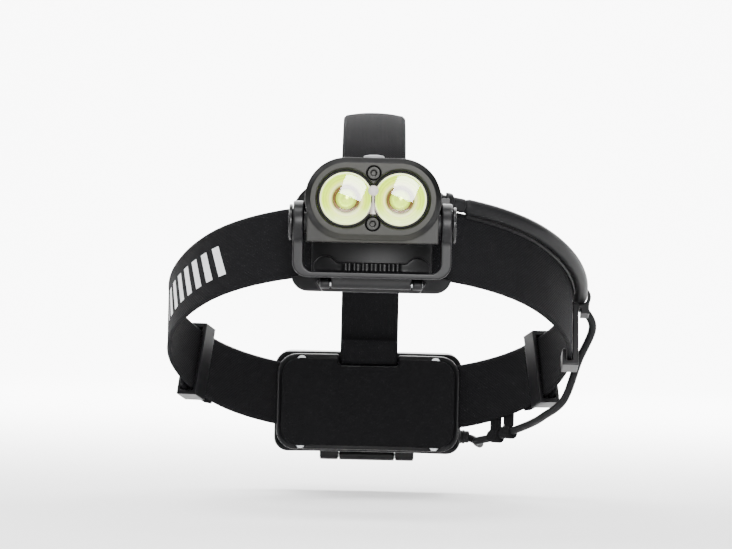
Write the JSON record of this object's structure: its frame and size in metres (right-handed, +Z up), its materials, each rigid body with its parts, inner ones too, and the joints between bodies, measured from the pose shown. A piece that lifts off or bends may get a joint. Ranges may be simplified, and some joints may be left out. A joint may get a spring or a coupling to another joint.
{
  "type": "headlamp",
  "caption": "Headlamp with paired round lenses in a tilting bracket, an elastic headband with a top strap, and a rear battery box on a cable.",
  "frame": {"origin": "centre of the head opening, where the headband oval's two axes cross its mid plane", "axes": "+Z up the wearer's head, lamp faces -Y, battery box towards +Y, +X to the right of a viewer facing the lamp; all joints at rest"},
  "size_m": [0.1708, 0.2549, 0.143],
  "materials": {
    "anodised_black": "fine satin black anodised aluminium",
    "bezel_olive": "satin anodised aluminium, very dark olive grey",
    "steel_screw": "zinc-plated steel",
    "clear_optic": "clear moulded acrylic",
    "black_rubber": "matte moulded rubber",
    "white_board": "white solder mask",
    "phosphor": "yellow phosphor under silicone",
    "milky_lens": "milky light pipe",
    "green_board": "green solder mask",
    "chip_black": "moulded chip packages",
    "button_grey": "light grey silicone rubber",
    "moulded_black": "finely textured glass-filled nylon",
    "pad_foam": "closed-cell foam with a fabric skin",
    "webbing": "woven elastic webbing, matte black",
    "cable_jacket": "matte rubber cable jacket",
    "seal_red": "silicone gasket",
    "cell_wrap": "shrink-wrapped cell",
    "nickel": "nickel-plated spring steel"
  },
  "bodies": {
    "headgear": {"hinge_pin": "steel_screw", "base_plate": "moulded_black", "forehead_pad": "pad_foam", "headband": "webbing", "top_strap": "webbing", "band_lead": "cable_jacket", "cable_sleeve": "cable_jacket", "battery_lead": "cable_jacket", "lead_loops": "webbing", "rear_cradle": "moulded_black", "rear_pad": "pad_foam", "cradle_screws": "steel_screw", "battery_tray": "moulded_black", "tray_seal": "seal_red", "lid_pin": "steel_screw", "battery_cells": "cell_wrap", "contact_springs": "nickel", "contact_plates": "nickel", "protection_board": "green_board", "tray_gland": "black_rubber"},
    "lamp": {"lamp_housing": "anodised_black", "front_bezel": "bezel_olive", "bezel_screws": "anodised_black", "twin_lens": "clear_optic", "lens_gasket": "black_rubber", "led_board": "white_board", "led_emitters": "phosphor", "indicator_led": "milky_lens", "board_screws": "steel_screw", "driver_board": "green_board", "driver_parts": "chip_black", "button_seal": "black_rubber", "tact_switch": "chip_black", "cable_gland": "black_rubber", "pivot_screws": "moulded_black", "friction_washers": "chip_black"},
    "bracket": {"bracket_yoke": "moulded_black", "lamp_lead": "cable_jacket"},
    "button": {"power_button": "button_grey"},
    "lid": {"battery_lid": "moulded_black"},
    "clip": {"side_clip": "moulded_black"},
    "slider_left": {"band_slider_left": "moulded_black"},
    "slider_right": {"band_slider_right": "moulded_black"},
    "slider_top": {"top_slider": "moulded_black"}
  },
  "joints": [
    {"name": "bracket_swing", "type": "hinge", "parent": "headgear", "child": "bracket", "pos_m": [0, -0.1055, 0.0167], "axis": [1, 0, 0], "range_deg": [0, 30], "deforming": ["band_lead"]},
    {"name": "lamp_tilt", "type": "hinge", "parent": "bracket", "child": "lamp", "pos_m": [0, -0.1125, 0.039], "axis": [1, 0, 0], "range_deg": [-5, 90], "deforming": ["lamp_lead"]},
    {"name": "button_press", "type": "slide", "parent": "lamp", "child": "button", "axis": [0, 0, -1], "range_m": [0, 0.0008]},
    {"name": "lid_open", "type": "hinge", "parent": "headgear", "child": "lid", "pos_m": [0, 0.1184, -0.0566], "axis": [-1, 0, 0], "range_deg": [0, 100]},
    {"name": "clip_slide", "type": "slide", "parent": "headgear", "child": "clip", "axis": [-0.0117, 0.9455, -0.3256], "range_m": [-0.0025, 0.001]},
    {"name": "slider_left_slide", "type": "slide", "parent": "headgear", "child": "slider_left", "axis": [0.3795, 0.8748, -0.3012], "range_m": [-0.0025, 0.0025]},
    {"name": "slider_right_slide", "type": "slide", "parent": "headgear", "child": "slider_right", "axis": [-0.3795, 0.8748, -0.3012], "range_m": [-0.0025, 0.0025]},
    {"name": "top_slider_slide", "type": "hinge", "parent": "headgear", "child": "slider_top", "pos_m": [0, 0.035, 0.0178], "axis": [1, 0, 0], "range_deg": [-3.5, 3.5]}
  ]
}
